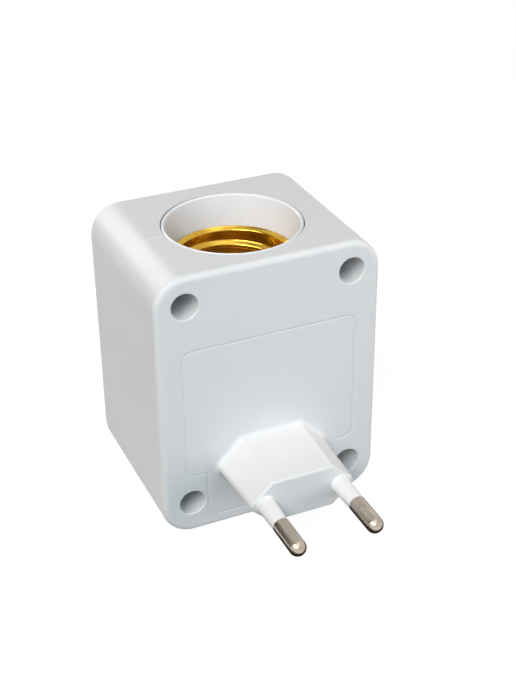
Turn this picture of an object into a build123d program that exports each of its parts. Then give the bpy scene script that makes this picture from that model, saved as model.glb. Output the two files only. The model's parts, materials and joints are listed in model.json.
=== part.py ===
from build123d import *
from math import asin, cos, pi, radians, sin, tan
import os

# Plug-in lamp holder with a motion sensor: a clamshell box with a screw lamp socket in its top, a two pin
# mains plug on its rear and a sensor lens in its front.
# Frame: millimetres, +Z up along the lamp axis, origin where that axis meets the base. The plug points along
# +Y and the lens along -Y. Left and right are as seen from behind, so left is +X.

# Housing
width = 55.0
height = 68.0
rear_depth = 21.0
front_depth = 23.0
corner_radius = 7.5
edge_radius = 1.4
parting_edge = 0.1
wall = 2.2
rib = 1.6
seam = 0.03
hole_edge = 0.2

# Housing screws and their bosses
screw_inset = 7.2
screw_rise = 8.3
counterbore_d = 6.4
counterbore_depth = 12.0
counterbore_wall = 1.5
screw_clear_d = 3.2
screw_pilot_d = 2.6
screw_boss_d = 6.6
screw_pilot_depth = 13.0
screw_d = 2.5
screw_length = 19.0
screw_head_d = 5.6
screw_head = 2.2
screw_crown_d = 3.7
screw_tip = 1.8
recess_length = 3.2
recess_width = 0.8
recess_depth = 1.1

# Lamp socket, from the mouth down to the contact well
lip_r = 16.5
mouth_r = 15.75
lip_edge = 0.3
mouth_foot_r = 15.1
socket_gap = 0.25
flange_r = 18.2
flange = 1.6
flange_play = 0.1
rim_drop = 7.7
shell_height = 20.3
well_r = 10.8
well_depth = 4.5
floor = 3.0
saddle_half = 12.0

# Rolled screw shell for a lamp cap with a 27 mm thread
thread_pitch = 3.629
thread_crest_r = 12.3
thread_root_r = 13.4
thread_turns = 3
thread_start = 6.0
crest_half = 0.45
flank_half = 1.25
sheet = 0.5
rim_r = 14.9
rim_flare = 0.8
rim_edge = 0.4
band = 2.0
band_flare = 1.0

# Centre contact, its rivet and the strip that feeds the shell
leaf_width = 5.0
leaf_sheet = 0.5
leaf_foot_end = 10.0
leaf_bend = 6.0
leaf_crest = -1.0
leaf_rise = 3.4
leaf_tip = -4.2
leaf_tip_drop = 1.0
leaf_bend_r = 1.2
rivet_y = 8.2
rivet_d = 2.4
rivet_head_d = 4.0
rivet_head = 0.7
rivet_play = 0.1
strip_width = 4.0
strip_sheet = 0.5
strip_play = 0.05
strip_slot_play = 0.1
strip_overlap = 1.8
strip_solder = 3.0

# Plug plate let into the rear wall, and the plug body moulded on it
plate_half = 21.5
plate_top = 49.3
plate_shoulder = 15.75
plate_neck_half = 16.3
plate_bottom = 3.3
plate_corner = 2.2
plate_lap = 1.5
plate_flange = 1.6
plate_edge = 0.4
plate_dip = 0.08
plug_z = 16.4
plug_length = 17.5
plug_sink = 0.4
plug_base_flat = 7.8
plug_base_half = 14.4
plug_base_rise = 6.7
plug_end_flat = 7.6
plug_end_half = 13.9
plug_end_rise = 5.4
plug_side_r = 2.0
plug_corner_r = 0.8
plug_edge_r = 0.5
plug_root_r = 1.2
pin_collar_d = 6.0
pin_collar = 2.0

# Plug pins
pin_spacing = 18.8
pin_d = 4.0
pin_core_d = 3.0
pin_length = 18.5
sleeve_root_d = 4.4
sleeve_d = 3.9
sleeve_length = 8.3
pin_tail = 3.0
moulded_gap = 0.05

# Sensor lens
lens_z = 16.4
lens_r = 11.0
lens_bulge = 7.5
lens_wall = 0.9
lens_flange = 1.0
lens_lap = 1.8
lens_gap = 0.15
lens_facets = 16
lens_rings = 4
lens_crown = 0.5

# Circuit board, facing the lens, on two posts of the front half
board_thickness = 1.6
board_side_gap = 1.8
board_foot_gap = 1.8
board_head_gap = 1.2
board_notch = 1.2
post_d = 5.6
post_inset = 3.0
post_drop = 5.0
post_pilot_d = 1.8
board_screw_d = 1.7
board_screw_length = 6.0
board_screw_head_d = 3.8
board_screw_head = 1.5
board_screw_crown_d = 2.5
board_hole_d = 2.2

# Parts on the front of the board
can_d = 8.2
can_height = 4.0
can_flange_d = 9.2
can_flange = 0.7
can_edge = 0.35
can_window = (4.0, 3.0)
can_window_depth = 0.2
light_sensor_d = 3.0
light_sensor_height = 5.0
light_sensor_rim = 1.0
light_sensor_lip = 0.3
light_sensor_x = 6.6
light_sensor_rise = 5.2
chip_inset = 8.1
chip_size = (3.9, 9.9, 1.5)
chip_leg = (1.0, 0.4, 0.9)
chip_leg_pitch = 1.27
chip_legs = 7
chip_stand = 0.15
chip_draft = 8.0
regulator_inset = 8.5
regulator_d = 4.8
regulator_flat = 1.3
regulator_height = 4.6

# Parts on the rear of the board
relay_size = (18.2, 10.2, 15.2)
relay_edge = 0.6
film_cap_size = (17.6, 8.0, 13.6)
film_cap_edge = 0.8
part_gap = 3.4
part_edge_gap = 0.4
filter_cap_d = 6.3
filter_cap_height = 11.5
filter_cap_bead = 0.4
resistor_inset = 9.0
resistor_d = 3.4
resistor_length = 8.5
resistor_cap = 1.6
resistor_shoulder = 0.8
resistor_waist = 0.4
resistor_span = 12.5
resistor_rise = 18.0
bridge_inset = 12.7
bridge_rise = 11.6
bridge_size = (4.7, 3.9, 2.5)
bridge_leg_pitch = 2.5
bridge_leg = 0.7
lead_d = 0.7
lead_lift = 0.4

# Insulated leads
lead_wire_d = 1.6
live_pad_inset = 5.9
live_pad_z = 14.6
neutral_pad_inset = 4.9
neutral_pad_z = 16.4
lamp_pad_x = 5.0
lamp_pad_drop = 3.4
lead_straight = 6.6
lead_cross = 4.6
lead_bend_share = 0.45

# Places worked out from the sizes above
FRONT = Plane.XZ
REAR = Plane(origin=(0, 0, 0), x_dir=(-1, 0, 0), z_dir=(0, 1, 0))
screw_x = width / 2 - screw_inset
screw_points = [(x, z) for x in (-screw_x, screw_x) for z in (screw_rise, height - screw_inset)]
screw_seat = rear_depth - counterbore_depth
rear_inside = rear_depth - wall
front_inside = front_depth - wall
top_inside = height - wall
counterbore_boss_r = counterbore_d / 2 + counterbore_wall
rim_z = height - rim_drop
ledge_z = rim_z - shell_height
well_floor = ledge_z - well_depth
socket_base = well_floor - floor
shell_r = thread_root_r + sheet
bore_r = shell_r + socket_gap
flange_top = top_inside - flange_play
saddle_top = flange_top - flange
strip_y = -(thread_crest_r + sheet + strip_play)
plate_inside = rear_inside - plate_flange
plug_end = rear_depth + plug_length
pin_x = pin_spacing / 2
pin_end = plug_end + pin_length
sleeve_end = plug_end + sleeve_length
tail_end = plate_inside - pin_collar - pin_tail
board_front_y = strip_y + strip_play
board_rear_y = board_front_y + board_thickness
board_half = width / 2 - wall - board_side_gap
board_bottom = wall + board_foot_gap
board_top = socket_base - board_head_gap
board_notch_half = screw_x - screw_boss_d / 2 - board_notch
board_notch_top = screw_rise + screw_boss_d / 2 + board_notch
post_points = [(x, board_top - post_drop) for x in (-board_half + post_inset, board_half - post_inset)]
part_line = board_notch_half - part_edge_gap
chip_x = chip_inset - board_half
regulator_x = board_half - regulator_inset
relay_x = relay_size[0] / 2 - part_line
film_cap_x = film_cap_size[0] / 2 - part_line
filter_cap_x = part_line - filter_cap_d / 2
resistor_x = board_half - resistor_inset
bridge_x = board_half - bridge_inset
live_pad = (board_half - live_pad_inset, live_pad_z)
neutral_pad = (neutral_pad_inset - board_half, neutral_pad_z)
BOARD_FRONT = FRONT.offset(-board_front_y)
BOARD_REAR = REAR.offset(board_rear_y)

os.makedirs("parts", exist_ok=True)


def finish(piece, name):
    """Name a finished piece and write it to its own file."""
    piece.part.label = name
    export_step(piece.part, f"parts/{name}.step")


def box_outline(inset=0.0):
    """Outline of the box seen from the front, shrunk by inset, in the current sketch."""
    with Locations((0, height / 2)):
        RectangleRounded(width - 2 * inset, height - 2 * inset, corner_radius - inset)


def screw_bosses(radius):
    """Four bosses with ribs to the two nearest walls, in the current sketch."""
    for x, z in screw_points:
        side = 1 if x > 0 else -1
        rise = 1 if z > height / 2 else -1
        across = screw_inset - wall / 2
        along = (height - z if rise > 0 else z) - wall / 2
        with Locations((x, z)):
            Circle(radius)
        with Locations((x + side * across / 2, z)):
            Rectangle(across, rib)
        with Locations((x, z + rise * along / 2)):
            Rectangle(rib, along)


def plate_outline(grow=0.0):
    """Outline of the plug plate, wide above and narrow between the lower screws, grown by grow."""
    corner = plate_corner + grow
    with Locations((0, (plate_top + plate_shoulder) / 2)):
        RectangleRounded(2 * (plate_half + grow), plate_top - plate_shoulder + 2 * grow, corner)
    neck_top = plate_shoulder + 2 * plate_corner
    with Locations((0, (neck_top + plate_bottom - grow) / 2)):
        RectangleRounded(2 * (plate_neck_half + grow), neck_top - plate_bottom + grow, corner)


def plug_outline(flat, half, rise):
    """Flattened hexagon of the plug body with rounded corners, in the current sketch."""
    with BuildSketch(mode=Mode.PRIVATE) as outline:
        with BuildLine():
            Polyline(
                (flat, rise), (half, 0), (flat, -rise), (-flat, -rise), (-half, 0), (-flat, rise), close=True)
        make_face()
        fillet(outline.vertices().sort_by(Axis.X)[1:-1], plug_corner_r)
        fillet(outline.vertices().sort_by(Axis.X)[0], plug_side_r)
        fillet(outline.vertices().sort_by(Axis.X)[-1], plug_side_r)
    add(outline.sketch)


def turned(origin, direction, outline):
    """Solid of revolution about a line from origin, with outline as (radius, height along direction)."""
    across = (1, 0, 0) if abs(direction[0]) < 1 else (0, 1, 0)
    normal = Vector(*across).cross(Vector(*direction))
    with BuildSketch(Plane(origin=origin, x_dir=across, z_dir=normal)) as profile:
        with BuildLine():
            Polyline(*outline, close=True)
        make_face()
    revolve(profile.sketch, axis=Axis(origin, direction))


def faceted_dome(reach, bulge):
    """Solid dome of this reach and bulge on the front wall, in rings of flat facets below a small crown."""
    dome_r = (reach ** 2 + bulge ** 2) / (2 * bulge)
    steepest = asin(reach / dome_r)
    rings = []
    for ring in range(lens_rings + 1):
        slope = steepest * (1 - ring / (lens_rings + lens_crown))
        ring_r = dome_r * sin(slope)
        ring_y = -front_depth - dome_r * (cos(slope) - cos(steepest))
        turns = [2 * pi * side / lens_facets for side in range(lens_facets)]
        rings.append([(ring_r * cos(turn), ring_y, lens_z + ring_r * sin(turn)) for turn in turns])
    outlines = [rings[0], rings[-1]]
    for lower, upper in zip(rings, rings[1:]):
        outlines += [(lower[i - 1], lower[i], upper[i], upper[i - 1]) for i in range(lens_facets)]
    return Solid(Shell([Face(Wire.make_polygon(outline)) for outline in outlines]))


def bend_radii(points):
    """Largest even bend at each corner of a route."""
    radii = []
    for before, here, after in zip(points, points[1:], points[2:]):
        into = Vector(*here) - Vector(*before)
        out = Vector(*after) - Vector(*here)
        turn = radians(into.get_angle(out))
        radii.append(lead_bend_share * min(into.length, out.length) / tan(turn / 2))
    return radii


def lead(points):
    """Round insulated lead along a route of straight runs and tangent arcs."""
    with BuildLine() as route:
        FilletPolyline(*points, radius=bend_radii(points))
    with BuildSketch(Plane(origin=route.line @ 0, z_dir=route.line % 0)) as profile:
        Circle(lead_wire_d / 2)
    sweep(profile.sketch, path=route.line)


# Front half of the box: shell, screw bosses, lens opening, board posts and the saddle under the socket
with BuildPart() as front_housing:
    with BuildSketch(FRONT):
        box_outline()
    extrude(amount=front_depth)
    fillet(front_housing.faces().sort_by(Axis.Y)[0].edges(), edge_radius)
    chamfer(front_housing.faces().sort_by(Axis.Y)[-1].edges(), parting_edge)
    with BuildSketch(FRONT):
        box_outline(wall)
    extrude(amount=front_inside, mode=Mode.SUBTRACT)
    with BuildSketch(FRONT):
        screw_bosses(screw_boss_d / 2)
    extrude(amount=front_inside)
    with BuildSketch(FRONT):
        with Locations(*screw_points):
            Circle(screw_pilot_d / 2)
    extrude(amount=screw_pilot_depth, mode=Mode.SUBTRACT)
    with BuildSketch(FRONT.offset(-board_front_y)):
        with Locations(*post_points):
            Circle(post_d / 2)
            Circle(post_pilot_d / 2, mode=Mode.SUBTRACT)
    extrude(amount=front_inside + board_front_y)
    with BuildSketch(FRONT.offset(front_inside)):
        with Locations((0, lens_z)):
            Circle(lens_r + lens_gap)
    extrude(amount=wall, mode=Mode.SUBTRACT)
    with BuildSketch(Plane.XY.offset(saddle_top)):
        with Locations((0, -front_inside / 2)):
            Rectangle(2 * saddle_half, front_inside)
        Circle(lip_r + socket_gap, mode=Mode.SUBTRACT)
    extrude(amount=-rib)
    with BuildSketch(Plane.XY.offset(top_inside)):
        Circle(lip_r + socket_gap)
    extrude(amount=wall, mode=Mode.SUBTRACT)
finish(front_housing, "front_housing")

# Rear half of the box: shell, deep counterbored screw bosses, opening for the plug plate and the rear saddle
with BuildPart() as rear_housing:
    with BuildSketch(REAR):
        box_outline()
    extrude(amount=rear_depth)
    fillet(rear_housing.faces().sort_by(Axis.Y)[-1].edges(), edge_radius)
    chamfer(rear_housing.faces().sort_by(Axis.Y)[0].edges(), parting_edge)
    with BuildSketch(REAR):
        box_outline(wall)
    extrude(amount=rear_inside, mode=Mode.SUBTRACT)
    with BuildSketch(REAR):
        screw_bosses(screw_boss_d / 2)
    extrude(amount=rear_inside)
    with BuildSketch(REAR.offset(screw_seat - counterbore_wall)):
        screw_bosses(counterbore_boss_r)
    extrude(amount=counterbore_depth + counterbore_wall - wall)
    with BuildSketch(REAR):
        with Locations(*screw_points):
            Circle(screw_clear_d / 2)
    extrude(amount=rear_depth, mode=Mode.SUBTRACT)
    with BuildSketch(REAR.offset(screw_seat)):
        with Locations(*screw_points):
            Circle(counterbore_d / 2)
    extrude(amount=counterbore_depth, mode=Mode.SUBTRACT)
    chamfer(rear_housing.faces().sort_by(Axis.Y)[-1].inner_wires().edges(), hole_edge)
    with BuildSketch(REAR.offset(rear_inside)):
        plate_outline(seam)
    extrude(amount=wall, mode=Mode.SUBTRACT)
    rear_face = rear_housing.faces().sort_by(Axis.Y)[-1]
    opening = rear_face.inner_wires().sort_by(SortBy.LENGTH)[-1]
    chamfer(opening.edges(), plate_edge, plate_dip, reference=rear_face)
    with BuildSketch(Plane.XY.offset(saddle_top)):
        with Locations((0, rear_inside / 2)):
            Rectangle(2 * saddle_half, rear_inside)
        Circle(lip_r + socket_gap, mode=Mode.SUBTRACT)
    extrude(amount=-rib)
    with BuildSketch(Plane.XY.offset(saddle_top)):
        Circle(flange_r + socket_gap)
    extrude(amount=flange, mode=Mode.SUBTRACT)
    with BuildSketch(Plane.XY.offset(top_inside)):
        Circle(lip_r + socket_gap)
    extrude(amount=wall, mode=Mode.SUBTRACT)
finish(rear_housing, "rear_housing")

# Four self-tapping screws that hold the halves together
with BuildPart() as housing_screws:
    for x, z in screw_points:
        turned((x, screw_seat, z), (0, 1, 0), [
            (0, -screw_length), (screw_d / 2, screw_tip - screw_length), (screw_d / 2, 0),
            (screw_head_d / 2, 0), (screw_head_d / 2, screw_head / 2),
            (screw_crown_d / 2, screw_head), (0, screw_head)])
        with BuildSketch(Plane(origin=(x, screw_seat + screw_head, z), x_dir=(-1, 0, 0), z_dir=(0, 1, 0))):
            Rectangle(recess_length, recess_width)
            Rectangle(recess_width, recess_length)
        extrude(amount=-recess_depth, mode=Mode.SUBTRACT)
finish(housing_screws, "housing_screws")

# Moulded socket: white mouth, retaining flange, seat for the shell and a well for the centre contact
with BuildPart() as socket_body:
    seat_z = rim_z - rim_edge
    with BuildSketch(FRONT):
        with BuildLine():
            Polyline(
                (0, socket_base), (lip_r, socket_base), (lip_r, saddle_top), (flange_r, saddle_top),
                (flange_r, flange_top), (lip_r, flange_top), (lip_r, height), (mouth_r, height),
                (mouth_foot_r, rim_z + socket_gap), (mouth_foot_r, seat_z - socket_gap),
                (bore_r, seat_z - rim_flare), (bore_r, ledge_z), (well_r, ledge_z), (well_r, well_floor),
                (0, well_floor), close=True)
        make_face()
    revolve(axis=Axis.Z)
    chamfer(socket_body.edges().group_by(Axis.Z)[-1], lip_edge)
    with BuildSketch(Plane.XY.offset(socket_base)):
        with Locations((0, rivet_y)):
            Circle(rivet_d / 2 + rivet_play)
        with Locations((0, strip_y - strip_sheet / 2)):
            Rectangle(strip_width + 2 * strip_slot_play, strip_sheet + 2 * strip_slot_play)
    extrude(amount=shell_height, mode=Mode.SUBTRACT)
finish(socket_body, "socket_body")

# Screw shell: thin sheet with a flared rim, a plain foot and a rolled thread seen inside and outside
with BuildPart() as screw_shell:
    band_top = ledge_z + band
    flare_top = band_top + band_flare
    with BuildSketch(FRONT):
        with BuildLine():
            Polyline(
                (thread_crest_r, ledge_z), (thread_crest_r + sheet, ledge_z),
                (thread_crest_r + sheet, band_top), (shell_r, flare_top), (shell_r, rim_z - rim_flare),
                (rim_r, rim_z - rim_edge), (rim_r, rim_z), (rim_r - sheet, rim_z),
                (thread_root_r, rim_z - rim_flare + rim_edge), (thread_root_r, flare_top),
                (thread_crest_r, band_top), close=True)
        make_face()
    revolve(axis=Axis.Z)
    with BuildLine() as thread:
        Helix(thread_pitch, thread_turns * thread_pitch, thread_root_r, center=(0, 0, ledge_z + thread_start))
    section = Plane(origin=thread.line @ 0, x_dir=(1, 0, 0), z_dir=thread.line % 0)
    depth = thread_crest_r - thread_root_r
    with BuildSketch(section):
        with BuildLine():
            Polyline((sheet / 2, -flank_half), (sheet / 2, flank_half),
                     (depth, crest_half), (depth, -crest_half), close=True)
        make_face()
    sweep(path=thread.line, is_frenet=True)
    with BuildSketch(section):
        with BuildLine():
            Polyline((2 * sheet, -flank_half), (2 * sheet, flank_half), (depth + sheet, crest_half / 2),
                     (depth + sheet, -crest_half / 2), close=True)
        make_face()
    sweep(path=thread.line, is_frenet=True, mode=Mode.SUBTRACT)
finish(screw_shell, "screw_shell")

# Brass strip from the foot of the shell down to the board
with BuildPart() as shell_terminal:
    with BuildSketch(FRONT.offset(-strip_y)):
        with Locations((0, (ledge_z + strip_overlap + board_top - strip_solder) / 2)):
            Rectangle(strip_width, ledge_z + strip_overlap - board_top + strip_solder)
    extrude(amount=strip_sheet)
finish(shell_terminal, "shell_terminal")

# Sprung centre contact: a flat foot, a rising tongue and a turned-down tip
with BuildPart() as centre_contact:
    leaf_base = well_floor + leaf_sheet / 2
    with BuildLine() as leaf:
        FilletPolyline(
            (0, leaf_foot_end, leaf_base), (0, leaf_bend, leaf_base), (0, leaf_crest, leaf_base + leaf_rise),
            (0, leaf_tip, leaf_base + leaf_rise - leaf_tip_drop), radius=leaf_bend_r)
    with BuildSketch(Plane(origin=leaf.line @ 0, x_dir=(1, 0, 0), z_dir=leaf.line % 0)):
        Rectangle(leaf_width, leaf_sheet)
    sweep(path=leaf.line)
    with BuildSketch(Plane.XY.offset(well_floor)):
        with Locations((0, rivet_y)):
            Circle(rivet_d / 2 + rivet_play)
    extrude(amount=leaf_sheet, mode=Mode.SUBTRACT)
finish(centre_contact, "centre_contact")

# Rivet that holds the contact's foot and takes the lamp lead below the floor
with BuildPart() as contact_rivet:
    turned((0, rivet_y, well_floor), (0, 0, 1), [
        (0, -floor - rivet_head), (rivet_head_d / 2, -floor - rivet_head), (rivet_head_d / 2, -floor),
        (rivet_d / 2, -floor), (rivet_d / 2, leaf_sheet), (rivet_head_d / 2, leaf_sheet),
        (rivet_head_d / 2, leaf_sheet + rivet_head / 2), (rivet_d / 2, leaf_sheet + rivet_head),
        (0, leaf_sheet + rivet_head)])
finish(contact_rivet, "contact_rivet")

# Plug plate with its flange behind the rear wall, the tapered plug body and the collars round the pins
with BuildPart() as plug_plate:
    with BuildSketch(REAR.offset(rear_inside)):
        plate_outline()
    extrude(amount=wall)
    plate_face = plug_plate.faces().sort_by(Axis.Y)[-1]
    chamfer(plate_face.edges(), plate_edge, plate_dip, reference=plate_face)
    with BuildSketch(REAR.offset(plate_inside)):
        with Locations((0, (plate_top + plate_shoulder) / 2)):
            RectangleRounded(
                2 * (plate_half + plate_lap), plate_top - plate_shoulder + 2 * plate_lap, plate_corner)
    extrude(amount=plate_flange)
    with BuildSketch(Plane.XY.offset(socket_base)):
        Circle(lip_r + socket_gap)
    extrude(amount=saddle_top - socket_base, mode=Mode.SUBTRACT)
    with BuildSketch(REAR.offset(plate_inside)):
        with Locations((-pin_x, plug_z), (pin_x, plug_z)):
            Circle(pin_collar_d / 2)
    extrude(amount=-pin_collar)
    with BuildSketch(REAR.offset(rear_depth - plug_sink)):
        with Locations((0, plug_z)):
            plug_outline(plug_base_flat, plug_base_half, plug_base_rise)
    with BuildSketch(REAR.offset(plug_end)):
        with Locations((0, plug_z)):
            plug_outline(plug_end_flat, plug_end_half, plug_end_rise)
    loft()
    fillet(plug_plate.faces().sort_by(Axis.Y)[-1].edges(), plug_edge_r)
    root_face = plug_plate.faces().filter_by_position(Axis.Y, rear_depth, rear_depth).sort_by(SortBy.AREA)[-1]
    fillet(root_face.inner_wires().edges(), plug_root_r)
    with BuildSketch(REAR.offset(plug_end)):
        with Locations((-pin_x, plug_z), (pin_x, plug_z)):
            Circle(pin_core_d / 2 + moulded_gap)
    extrude(amount=tail_end - plug_end, mode=Mode.SUBTRACT)
finish(plug_plate, "plug_plate")

# Two plated pins, each with an insulating sleeve next to the plug body
for side, x in (("left", pin_x), ("right", -pin_x)):
    with BuildPart() as plug_pin:
        with BuildSketch(Plane(origin=(x, 0, plug_z))):
            with BuildLine():
                Polyline((0, tail_end), (pin_core_d / 2, tail_end), (pin_core_d / 2, sleeve_end),
                         (pin_d / 2, sleeve_end), (pin_d / 2, pin_end - pin_d / 2))
                RadiusArc((pin_d / 2, pin_end - pin_d / 2), (0, pin_end), -pin_d / 2)
                Line((0, pin_end), (0, tail_end))
            make_face()
        revolve(axis=Axis((x, 0, plug_z), (0, 1, 0)))
    finish(plug_pin, f"plug_pin_{side}")
    with BuildPart() as pin_sleeve:
        core_r = pin_core_d / 2 + moulded_gap
        turned((x, plug_end, plug_z), (0, 1, 0), [
            (core_r, 0), (sleeve_root_d / 2, 0), (sleeve_d / 2, sleeve_length), (core_r, sleeve_length)])
    finish(pin_sleeve, f"pin_sleeve_{side}")

# Milky lens: a dome of flat facets on a round neck, with a flange behind the front wall
with BuildPart() as lens_dome:
    with BuildSketch(FRONT.offset(front_inside - lens_flange)):
        with Locations((0, lens_z)):
            Circle(lens_r + lens_lap)
    extrude(amount=lens_flange)
    with BuildSketch(FRONT.offset(front_inside)):
        with Locations((0, lens_z)):
            Circle(lens_r)
    extrude(amount=wall)
    add(faceted_dome(lens_r, lens_bulge))
    with BuildSketch(FRONT.offset(front_inside - lens_flange)):
        with Locations((0, lens_z)):
            Circle(lens_r - lens_wall)
    extrude(amount=lens_flange + wall, mode=Mode.SUBTRACT)
    add(faceted_dome(lens_r - lens_wall, lens_bulge - lens_wall), mode=Mode.SUBTRACT)
finish(lens_dome, "lens_dome")

# Circuit board with notches for the lower bosses and holes for its screws
with BuildPart() as circuit_board:
    with BuildSketch(BOARD_FRONT):
        with Locations((0, (board_bottom + board_top) / 2)):
            Rectangle(2 * board_half, board_top - board_bottom)
        for side in (-1, 1):
            notch = board_half - board_notch_half
            with Locations((side * (board_half - notch / 2), (board_bottom + board_notch_top) / 2)):
                Rectangle(notch, board_notch_top - board_bottom, mode=Mode.SUBTRACT)
        with Locations(*post_points):
            Circle(board_hole_d / 2, mode=Mode.SUBTRACT)
    extrude(amount=-board_thickness)
finish(circuit_board, "circuit_board")

# Two small screws that hold the board on its posts
with BuildPart() as board_screws:
    for x, z in post_points:
        turned((x, board_rear_y, z), (0, 1, 0), [
            (0, -board_screw_length), (board_screw_d / 2, board_screw_d - board_screw_length),
            (board_screw_d / 2, 0), (board_screw_head_d / 2, 0),
            (board_screw_head_d / 2, board_screw_head / 2),
            (board_screw_crown_d / 2, board_screw_head), (0, board_screw_head)])
finish(board_screws, "board_screws")

# Motion sensor: a metal can on a flange, with a filter window that faces the lens
with BuildPart() as motion_sensor:
    with BuildSketch(BOARD_FRONT):
        with Locations((0, lens_z)):
            Circle(can_flange_d / 2)
    extrude(amount=can_flange)
    with BuildSketch(BOARD_FRONT):
        with Locations((0, lens_z)):
            Circle(can_d / 2)
    extrude(amount=can_height)
    chamfer(motion_sensor.faces().sort_by(Axis.Y)[0].edges(), can_edge)
    with BuildSketch(BOARD_FRONT.offset(can_height)):
        with Locations((0, lens_z)):
            Rectangle(*can_window)
    extrude(amount=-can_window_depth, mode=Mode.SUBTRACT)
finish(motion_sensor, "motion_sensor")

# Light sensor beside the motion sensor: a small clear dome with a rim
with BuildPart() as light_sensor:
    dome_r = light_sensor_d / 2
    dome_foot = light_sensor_height - dome_r
    with BuildSketch(BOARD_FRONT):
        with Locations((light_sensor_x, lens_z + light_sensor_rise)):
            Circle(dome_r + light_sensor_lip)
    extrude(amount=light_sensor_rim)
    with BuildSketch(BOARD_FRONT):
        with Locations((light_sensor_x, lens_z + light_sensor_rise)):
            Circle(dome_r)
    extrude(amount=dome_foot)
    with Locations((light_sensor_x, board_front_y - dome_foot, lens_z + light_sensor_rise)):
        Sphere(dome_r)
finish(light_sensor, "light_sensor")

# Control chip with two rows of legs
with BuildPart() as control_chip:
    with BuildSketch(BOARD_FRONT.offset(chip_stand)):
        with Locations((chip_x, lens_z)):
            Rectangle(chip_size[0], chip_size[1])
    extrude(amount=chip_size[2], taper=chip_draft)
    with BuildSketch(BOARD_FRONT):
        with Locations((chip_x, lens_z)):
            with GridLocations(chip_size[0] + chip_leg[0], chip_leg_pitch, 2, chip_legs):
                Rectangle(chip_leg[0] + chip_stand, chip_leg[1])
    extrude(amount=chip_leg[2])
finish(control_chip, "control_chip")

# Voltage regulator in a half round case
with BuildPart() as voltage_regulator:
    with BuildSketch(BOARD_FRONT):
        with Locations((regulator_x, lens_z)):
            Circle(regulator_d / 2)
        with Locations((regulator_x, lens_z - regulator_flat - regulator_d / 2)):
            Rectangle(regulator_d, regulator_d, mode=Mode.SUBTRACT)
    extrude(amount=regulator_height)
finish(voltage_regulator, "voltage_regulator")

# Relay that switches the lamp
with BuildPart() as relay:
    relay_z = board_bottom + relay_size[1] / 2
    with BuildSketch(BOARD_REAR):
        with Locations((-relay_x, relay_z)):
            Rectangle(relay_size[0], relay_size[1])
    extrude(amount=relay_size[2])
    fillet(relay.edges().filter_by(Axis.Y), relay_edge)
    chamfer(relay.faces().sort_by(Axis.Y)[-1].edges(), relay_edge)
finish(relay, "relay")

# Mains capacitor that feeds the low voltage side
with BuildPart() as mains_capacitor:
    film_cap_z = board_bottom + relay_size[1] + part_gap + film_cap_size[1] / 2
    with BuildSketch(BOARD_REAR):
        with Locations((-film_cap_x, film_cap_z)):
            Rectangle(film_cap_size[0], film_cap_size[1])
    extrude(amount=film_cap_size[2])
    fillet(mains_capacitor.edges().filter_by(Axis.Y), film_cap_edge)
finish(mains_capacitor, "mains_capacitor")

# Filter capacitor with its crimped bead
with BuildPart() as filter_capacitor:
    filter_r = filter_cap_d / 2
    bead = filter_cap_bead
    turned((filter_cap_x, board_rear_y, board_bottom + filter_r), (0, 1, 0), [
        (0, 0), (filter_r, 0), (filter_r, 2 * bead), (filter_r - bead, 3 * bead), (filter_r, 4 * bead),
        (filter_r, filter_cap_height - bead), (filter_r - bead, filter_cap_height), (0, filter_cap_height)])
finish(filter_capacitor, "filter_capacitor")

# Fusible resistor in the live feed, a capped body on two bent leads
with BuildPart() as fuse_resistor:
    body_r = resistor_d / 2
    resistor_y = board_rear_y + lead_lift + body_r
    resistor_z = board_bottom + resistor_rise
    cap = resistor_cap
    waist_r = body_r - resistor_waist
    waist_start = cap + resistor_shoulder
    turned((resistor_x - resistor_length / 2, resistor_y, resistor_z), (1, 0, 0), [
        (0, 0), (body_r, 0), (body_r, cap), (waist_r, waist_start), (waist_r, resistor_length - waist_start),
        (body_r, resistor_length - cap), (body_r, resistor_length), (0, resistor_length)])
    for side in (-1, 1):
        leg_x = resistor_x + side * resistor_span / 2
        with BuildLine() as leg:
            Polyline((resistor_x + side * resistor_length / 2, resistor_y, resistor_z),
                     (leg_x, resistor_y, resistor_z), (leg_x, board_rear_y, resistor_z))
        with BuildSketch(Plane(origin=leg.line @ 0, z_dir=leg.line % 0)):
            Circle(lead_d / 2)
        sweep(path=leg.line, transition=Transition.RIGHT)
finish(fuse_resistor, "fuse_resistor")

# Bridge rectifier with a leg at each corner
with BuildPart() as bridge_rectifier:
    bridge_z = board_bottom + bridge_rise
    with BuildSketch(BOARD_REAR.offset(chip_stand)):
        with Locations((-bridge_x, bridge_z)):
            Rectangle(bridge_size[0], bridge_size[1])
    extrude(amount=bridge_size[2], taper=chip_draft)
    with BuildSketch(BOARD_REAR):
        with Locations((-bridge_x, bridge_z)):
            with GridLocations(bridge_leg_pitch, bridge_size[1] + chip_leg[0], 2, 2):
                Rectangle(bridge_leg, chip_leg[0] + chip_stand)
    extrude(amount=chip_leg[2])
finish(bridge_rectifier, "bridge_rectifier")

# Leads from the two pins to the board, and from the board to the centre contact
for name, x, pad in (("live_wire", pin_x, live_pad), ("neutral_wire", -pin_x, neutral_pad)):
    with BuildPart() as feed:
        lead([(x, tail_end, plug_z), (x, tail_end - lead_straight, plug_z),
              (pad[0], tail_end - lead_straight - lead_cross, pad[1]), (pad[0], board_rear_y, pad[1])])
    finish(feed, name)
with BuildPart() as lamp_wire:
    rivet_foot = socket_base - rivet_head
    pad_z = board_top - lamp_pad_drop
    lead([(0, rivet_y, rivet_foot), (0, rivet_y, pad_z),
          (lamp_pad_x, 0, pad_z), (lamp_pad_x, board_rear_y, pad_z)])
finish(lamp_wire, "lamp_wire")
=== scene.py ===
"""Looks of a plug-in lamp holder with a motion sensor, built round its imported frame."""
import json
import logging
from abc import ABC, abstractmethod
from dataclasses import dataclass, field
from enum import Enum
from math import asin, atan2, cos, hypot, pi, radians, sin, tan
from typing import Any, Callable, Iterator, Union

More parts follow.
